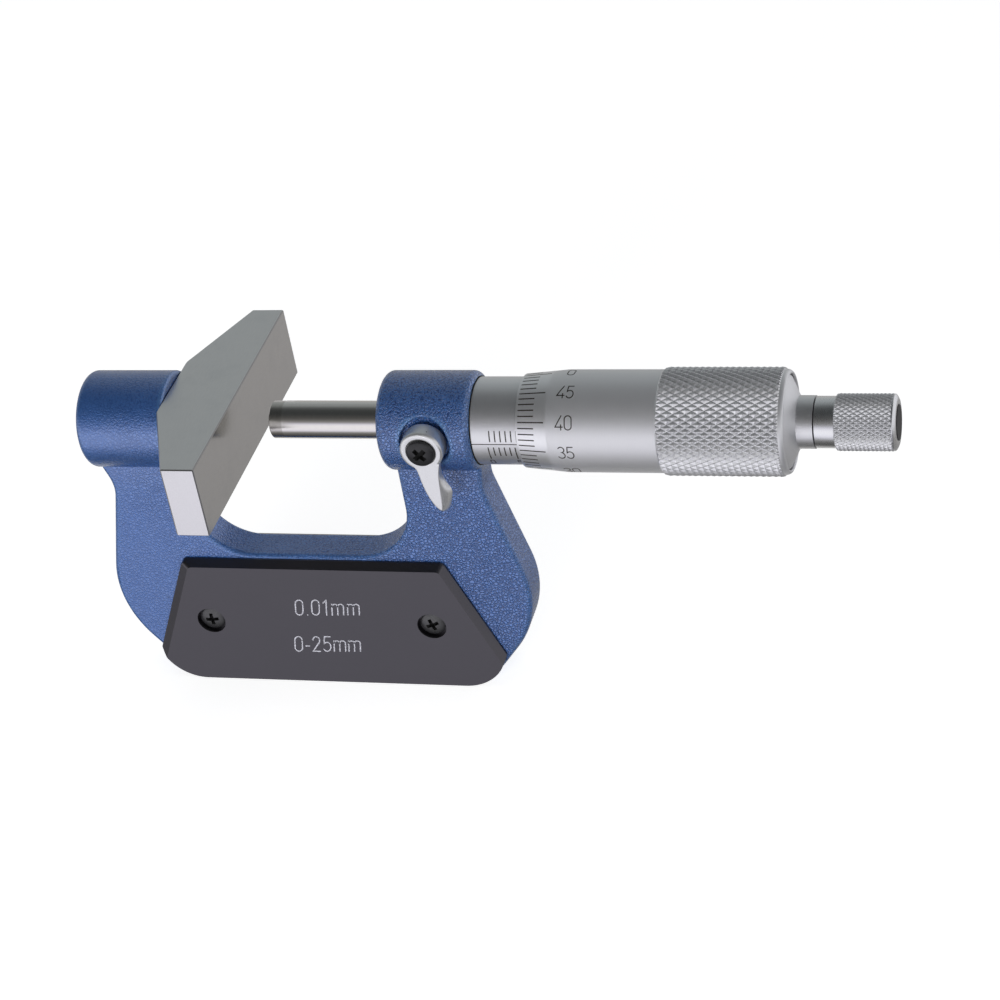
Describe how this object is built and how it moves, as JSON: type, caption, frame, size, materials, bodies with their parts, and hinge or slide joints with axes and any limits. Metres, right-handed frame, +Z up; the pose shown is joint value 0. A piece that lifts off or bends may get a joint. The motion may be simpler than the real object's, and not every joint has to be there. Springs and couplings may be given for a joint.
{
  "type": "bar anvil micrometer",
  "caption": "Outside micrometer with a U-shaped enamelled frame, a wide bar as fixed anvil, a turning spindle with thimble and ratchet knob, and a lever lock.",
  "frame": {"origin": "centre of the anvil bar's measuring face, on the spindle's axis", "axes": "+X along the spindle from the anvil bar to the ratchet knob, +Z up from the frame's foot to the spindle, -Y towards the reader who sees the lock lever and the scale"},
  "size_m": [0.1545, 0.054, 0.0672],
  "materials": {
    "frame_paint": "hammered enamel",
    "ground_steel": "ground matte",
    "polished_steel": "polished",
    "carbide": "lapped",
    "satin_chrome": "satin",
    "turned_steel": "turned",
    "brass_plug": "turned",
    "grip_plate": "matte",
    "black_steel": "blackened",
    "black_disc": "smooth",
    "lever_aluminium": "satin"
  },
  "bodies": {
    "frame": {"frame": "frame_paint", "anvil_bar": "ground_steel", "guide_sleeve": "turned_steel", "scale_sleeve": "satin_chrome", "adjusting_nut": "turned_steel", "lock_plug": "brass_plug", "front_grip_plate": "grip_plate", "rear_grip_plate": "grip_plate", "front_plate_screw_left": "black_steel", "front_plate_screw_right": "black_steel", "rear_plate_screw_left": "black_steel", "rear_plate_screw_right": "black_steel"},
    "spindle": {"spindle": "polished_steel", "spindle_tip": "carbide"},
    "thimble": {"thimble": "satin_chrome", "thimble_cap": "satin_chrome", "ratchet_body": "satin_chrome", "ratchet_click_disc": "turned_steel", "ratchet_spring": "turned_steel", "ratchet_screw": "turned_steel"},
    "knob": {"ratchet_knob": "satin_chrome", "knob_end_disc": "black_disc"},
    "lever": {"lock_lever": "lever_aluminium", "lock_stud": "turned_steel", "lock_screw": "black_steel"}
  },
  "joints": [
    {"name": "spindle_feed", "type": "slide", "parent": "frame", "child": "spindle", "axis": [1, 0, 0], "range_m": [-0.00536, 0.01964]},
    {"name": "thimble_turn", "type": "hinge", "parent": "spindle", "child": "thimble", "pos_m": [0.08, 0, 0], "axis": [1, 0, 0], "range_deg": [-3859.3, 14140.9]},
    {"name": "ratchet_slip", "type": "hinge", "parent": "thimble", "child": "knob", "pos_m": [0.115, 0, 0], "axis": [1, 0, 0], "continuous": true},
    {"name": "lock_turn", "type": "hinge", "parent": "frame", "child": "lever", "pos_m": [0.03675, 0, 0.0006], "axis": [0, 1, 0], "range_deg": [-20, 35]}
  ],
  "couplings": [
    {"joint": "thimble_turn", "follows": "spindle_feed", "rad_per_m": 12566}
  ]
}
